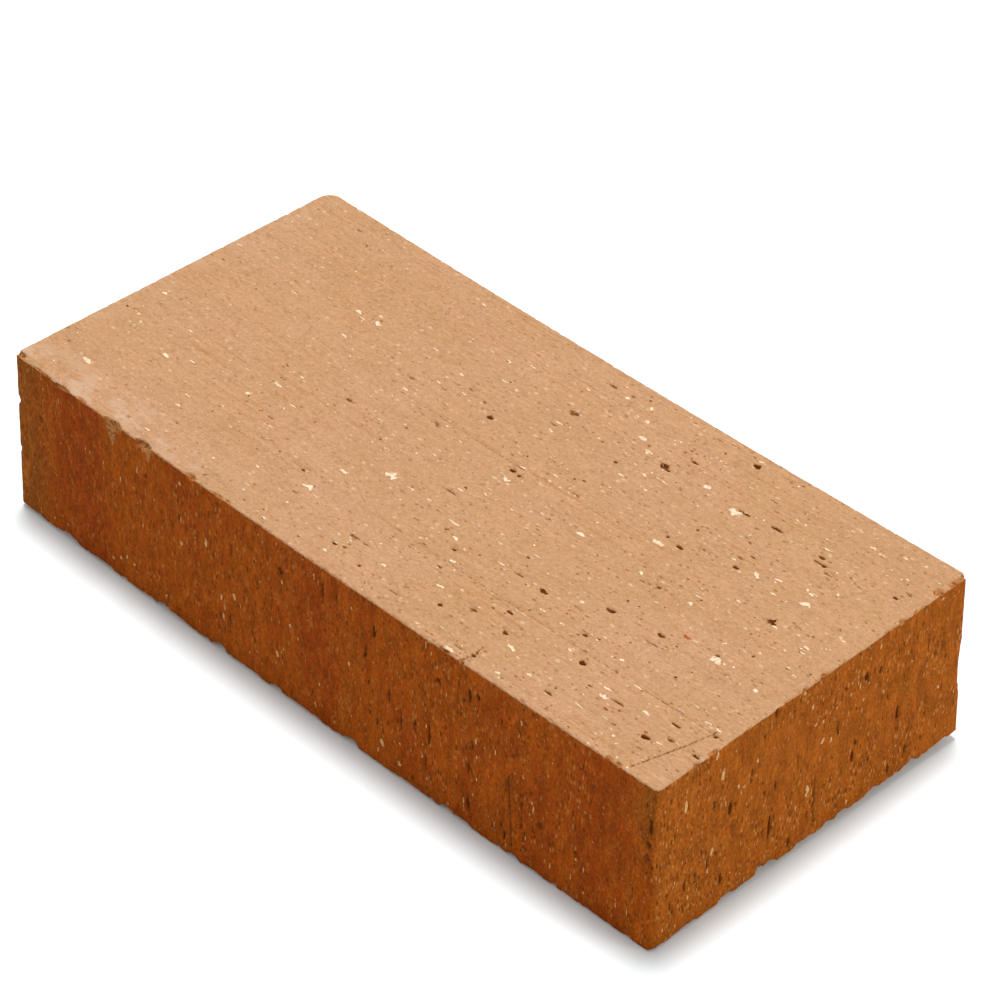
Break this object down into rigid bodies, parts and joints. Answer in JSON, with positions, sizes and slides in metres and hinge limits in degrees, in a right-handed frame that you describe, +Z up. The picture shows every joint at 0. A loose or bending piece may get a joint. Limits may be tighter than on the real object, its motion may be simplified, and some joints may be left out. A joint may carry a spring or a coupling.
{
  "type": "solid fired-clay brick",
  "caption": "Solid rectangular fired-clay brick with wire-cut bed faces, die-skinned sides and coarse mineral grains showing in its faces.",
  "frame": {"origin": "centre of the lower bed face, on the surface the brick lies on", "axes": "+X along the length, +Z up through the height from bed face to bed face, +Y across the width"},
  "size_m": [0.24, 0.115, 0.053],
  "materials": {
    "fired_clay": "matt unglazed fired clay, rough wire-cut beds and streaked die-skin sides",
    "quartz": "cream to white mineral grain, slightly glassy",
    "ironstone": "dark brown burnt ironstone grain, dull",
    "red_grog": "matt red crushed fired clay"
  },
  "bodies": {
    "root": {"brick_body": "fired_clay", "quartz_grain_top_01": "quartz", "quartz_grain_top_02": "quartz", "quartz_grain_top_03": "quartz", "quartz_grain_top_04": "quartz", "quartz_grain_top_05": "quartz", "quartz_grain_top_06": "quartz", "quartz_grain_top_07": "quartz", "quartz_grain_top_08": "quartz", "quartz_grain_top_09": "quartz", "quartz_grain_top_10": "quartz", "quartz_grain_top_11": "quartz", "quartz_grain_top_12": "quartz", "quartz_grain_top_13": "quartz", "quartz_grain_top_14": "quartz", "ironstone_grain_top_01": "ironstone", "ironstone_grain_top_02": "ironstone", "ironstone_grain_top_03": "ironstone", "red_grog_grain_top_01": "red_grog", "quartz_grain_side_01": "quartz", "quartz_grain_side_02": "quartz", "quartz_grain_side_03": "quartz", "quartz_grain_side_04": "quartz", "quartz_grain_side_05": "quartz", "quartz_grain_end_01": "quartz", "quartz_grain_end_02": "quartz", "quartz_grain_end_03": "quartz", "quartz_grain_end_04": "quartz", "quartz_grain_end_05": "quartz"}
  },
  "joints": []
}
